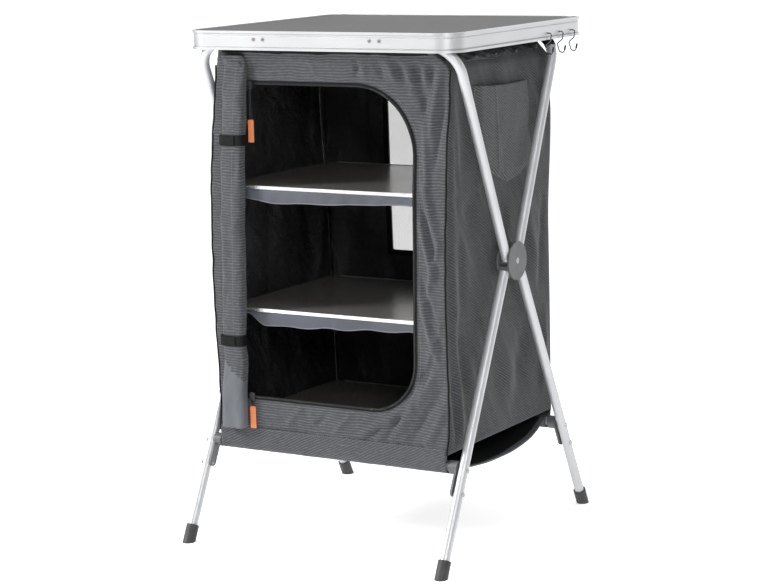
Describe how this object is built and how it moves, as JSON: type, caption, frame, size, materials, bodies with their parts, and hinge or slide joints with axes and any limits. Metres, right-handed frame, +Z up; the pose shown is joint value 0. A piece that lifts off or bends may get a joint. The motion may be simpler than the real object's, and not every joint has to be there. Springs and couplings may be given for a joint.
{
  "type": "camping cupboard",
  "caption": "Free-standing fabric camping cupboard: lift-off tabletop, shelves behind a rolled-up zip door, folding crossed tube frame, utensil hooks.",
  "frame": {"origin": "on the floor, midway between the front and rear feet and between the left and right legs", "axes": "+X to the right seen from the front, +Y from the open front to the rear, +Z up"},
  "size_m": [0.6121, 0.629, 1.005],
  "materials": {
    "laminate": "satin grey laminate",
    "shelf_laminate": "satin charcoal laminate",
    "rim_aluminium": "satin anodised",
    "tube_aluminium": "satin",
    "grey_plastic": "moulded",
    "steel": "bright",
    "outer_fabric": "ribbed charcoal polyester",
    "black_fabric": "coated black",
    "sling_fabric": "smooth slate grey",
    "mesh": "open light grey mesh",
    "black_slider": "black",
    "orange": "orange"
  },
  "bodies": {
    "cabinet": {"panel_front": "outer_fabric", "panel_back": "outer_fabric", "panel_left": "outer_fabric", "panel_right": "outer_fabric", "window_mesh": "mesh", "corner_piping": "black_fabric", "bottom_sling": "black_fabric", "bag_floor": "black_fabric", "top_sleeve_rear": "outer_fabric", "side_pocket": "outer_fabric", "door_roll": "outer_fabric", "door_strap_upper": "black_fabric", "door_strap_lower": "black_fabric", "zip_tape": "black_fabric", "slider_upper": "black_slider", "slider_lower": "black_slider", "sling_upper": "sling_fabric", "sling_middle": "sling_fabric"},
    "frame_b": {"frame_b_upper": "tube_aluminium", "frame_b_leg_left": "tube_aluminium", "frame_b_leg_right": "tube_aluminium", "hub_b_left": "grey_plastic", "hub_b_right": "grey_plastic", "hub_pins": "steel", "foot_front_left": "grey_plastic", "foot_front_right": "grey_plastic", "bracket_front_left": "grey_plastic", "bracket_front_right": "grey_plastic", "front_bracket_rivets": "steel", "crossbar_front": "tube_aluminium", "hem_sleeve_front": "outer_fabric"},
    "frame_a": {"frame_a_upper": "tube_aluminium", "frame_a_leg_left": "tube_aluminium", "frame_a_leg_right": "tube_aluminium", "hub_a_left": "grey_plastic", "hub_a_right": "grey_plastic", "foot_rear_left": "grey_plastic", "foot_rear_right": "grey_plastic", "bracket_rear_left": "grey_plastic", "bracket_rear_right": "grey_plastic", "rear_bracket_rivets": "steel", "crossbar_rear": "tube_aluminium", "hem_sleeve_rear": "outer_fabric", "top_sleeve_front": "outer_fabric"},
    "tabletop": {"table_board": "laminate", "table_rim": "rim_aluminium", "front_clips": "grey_plastic", "rear_clips": "grey_plastic", "rim_rivets": "steel"},
    "hook_front": {"hook_front": "steel"},
    "hook_middle": {"hook_middle": "steel"},
    "hook_rear": {"hook_rear": "steel"},
    "shelf_upper": {"shelf_board_upper": "shelf_laminate", "trim_upper": "rim_aluminium"},
    "shelf_middle": {"shelf_board_middle": "shelf_laminate", "trim_middle": "rim_aluminium"},
    "shelf_lower": {"shelf_board_lower": "shelf_laminate", "trim_lower": "rim_aluminium"},
    "pull_upper": {"pull_upper": "orange"},
    "pull_lower": {"pull_lower": "orange"}
  },
  "joints": [
    {"name": "frame_fold", "type": "hinge", "parent": "cabinet", "child": "frame_b", "pos_m": [0, 0.205, 0.98], "axis": [1, 0, 0], "range_deg": [0, 23.4]},
    {"name": "scissor", "type": "hinge", "parent": "frame_b", "child": "frame_a", "pos_m": [0, 0, 0.555], "axis": [1, 0, 0], "range_deg": [-47, 0]},
    {"name": "tabletop_lift", "type": "slide", "parent": "cabinet", "child": "tabletop", "axis": [0, 0, 1], "range_m": [0, 0.15]},
    {"name": "shelf_upper_lift", "type": "slide", "parent": "cabinet", "child": "shelf_upper", "axis": [0, 0, 1], "range_m": [0, 0.04]},
    {"name": "shelf_middle_lift", "type": "slide", "parent": "cabinet", "child": "shelf_middle", "axis": [0, 0, 1], "range_m": [0, 0.08]},
    {"name": "shelf_lower_lift", "type": "slide", "parent": "cabinet", "child": "shelf_lower", "axis": [0, 0, 1], "range_m": [0, 0.08]},
    {"name": "hook_front_swing", "type": "hinge", "parent": "tabletop", "child": "hook_front", "pos_m": [0.297, 0.144, 0.981], "axis": [1, 0, 0], "range_deg": [-30, 30]},
    {"name": "hook_middle_swing", "type": "hinge", "parent": "tabletop", "child": "hook_middle", "pos_m": [0.297, 0.1955, 0.981], "axis": [1, 0, 0], "range_deg": [-30, 30]},
    {"name": "hook_rear_swing", "type": "hinge", "parent": "tabletop", "child": "hook_rear", "pos_m": [0.297, 0.247, 0.981], "axis": [1, 0, 0], "range_deg": [-30, 30]},
    {"name": "pull_upper_swing", "type": "hinge", "parent": "cabinet", "child": "pull_upper", "pos_m": [-0.1765, -0.19376, 0.8884], "axis": [1, 0, 0], "range_deg": [-60, 30]},
    {"name": "pull_lower_swing", "type": "hinge", "parent": "cabinet", "child": "pull_lower", "pos_m": [-0.1765, -0.22046, 0.2784], "axis": [1, 0, 0], "range_deg": [-80, 0]}
  ],
  "couplings": [
    {"joint": "scissor", "follows": "frame_fold", "ratio": -2}
  ]
}
